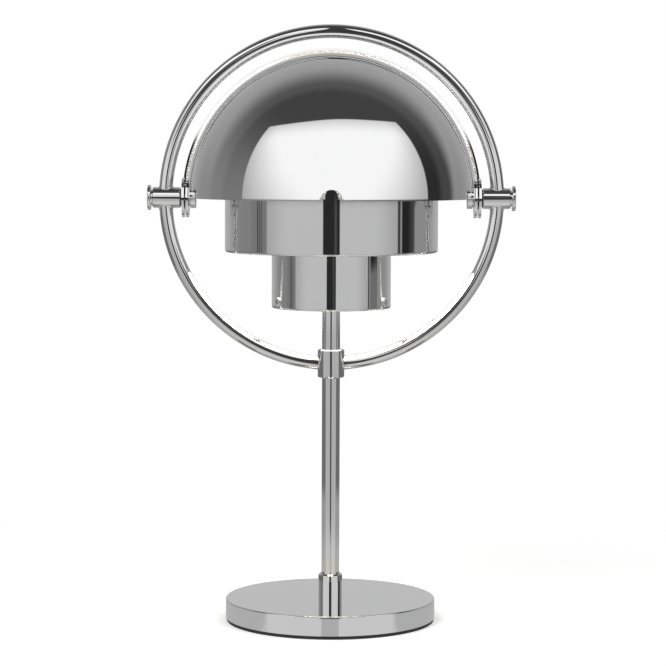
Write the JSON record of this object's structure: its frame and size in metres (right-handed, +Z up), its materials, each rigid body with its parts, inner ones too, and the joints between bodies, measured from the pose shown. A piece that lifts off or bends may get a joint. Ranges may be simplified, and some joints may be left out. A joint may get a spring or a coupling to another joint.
{
  "type": "portable table lamp",
  "caption": "Cordless chrome table lamp: disc base, stem and a ring whose pivots carry turning quarter-sphere shades around fixed cylinder shades.",
  "frame": {"origin": "centre of the base's foot, on the surface that the lamp stands on", "axes": "+Z up along the stem, X along the pivot axis of the shades, the front towards -Y"},
  "size_m": [0.1756, 0.1401, 0.2858],
  "materials": {
    "polished_chrome": "polished plating on steel",
    "zinc_steel": "zinc-plated",
    "black_nylon": "matte",
    "black_rubber": "matte",
    "iron": "cast, bare",
    "foil_pouch": "laminated foil pouch",
    "bare_aluminium": "turned",
    "opal_acrylic": "translucent opal",
    "circuit_board": "white solder mask",
    "light_chip": "phosphor",
    "white_plastic": "moulded",
    "amber_film": "film",
    "lead_jacket": "soft jacket",
    "button_plastic": "fine texture"
  },
  "bodies": {
    "stand": {"base_shell": "polished_chrome", "stem_ferrule": "polished_chrome", "lower_stem": "polished_chrome", "ring_collar": "polished_chrome", "upper_stem": "polished_chrome", "ring_upper_arc": "polished_chrome", "ring_left_arc": "polished_chrome", "ring_right_arc": "polished_chrome", "left_pivot_barrel": "polished_chrome", "right_pivot_barrel": "polished_chrome", "left_pivot_screw": "polished_chrome", "right_pivot_screw": "polished_chrome", "wide_shade": "polished_chrome", "narrow_shade": "polished_chrome", "pivot_nuts": "polished_chrome", "bottom_cover": "zinc_steel", "cover_screws": "zinc_steel", "base_nut": "zinc_steel", "base_washer": "zinc_steel", "head_nut": "zinc_steel", "head_washer": "zinc_steel", "spring_washers": "zinc_steel", "shade_struts": "zinc_steel", "strut_screws": "zinc_steel", "clip_screws": "zinc_steel", "lower_diffuser_clips": "zinc_steel", "upper_diffuser_clips": "zinc_steel", "charging_port": "zinc_steel", "barrel_washers": "black_nylon", "friction_washers": "black_nylon", "push_switch": "black_nylon", "foot_ring": "black_rubber", "ballast_plate": "iron", "battery_pack": "foil_pouch", "heat_sink": "bare_aluminium", "lower_diffuser": "opal_acrylic", "upper_diffuser": "opal_acrylic", "control_board": "circuit_board", "upper_light_board": "circuit_board", "lower_light_board": "circuit_board", "upper_light_chips": "light_chip", "lower_light_chips": "light_chip", "board_connector": "white_plastic", "head_connector": "white_plastic", "board_link": "white_plastic", "insulating_sheet": "amber_film", "power_lead": "lead_jacket", "battery_leads": "lead_jacket"},
    "front_shade": {"front_shade": "polished_chrome"},
    "rear_shade": {"rear_shade": "polished_chrome"},
    "power_button": {"power_button": "button_plastic"}
  },
  "joints": [
    {"name": "front_shade_turn", "type": "hinge", "parent": "stand", "child": "front_shade", "pos_m": [0, 0, 0.20339], "axis": [1, 0, 0], "range_deg": [-175, 90]},
    {"name": "rear_shade_turn", "type": "hinge", "parent": "stand", "child": "rear_shade", "pos_m": [0, 0, 0.20339], "axis": [1, 0, 0], "range_deg": [-90, 175]},
    {"name": "power_button_press", "type": "slide", "parent": "stand", "child": "power_button", "axis": [0, -1, 0], "range_m": [0, 0.0006], "stiffness_N_per_m": 800}
  ]
}
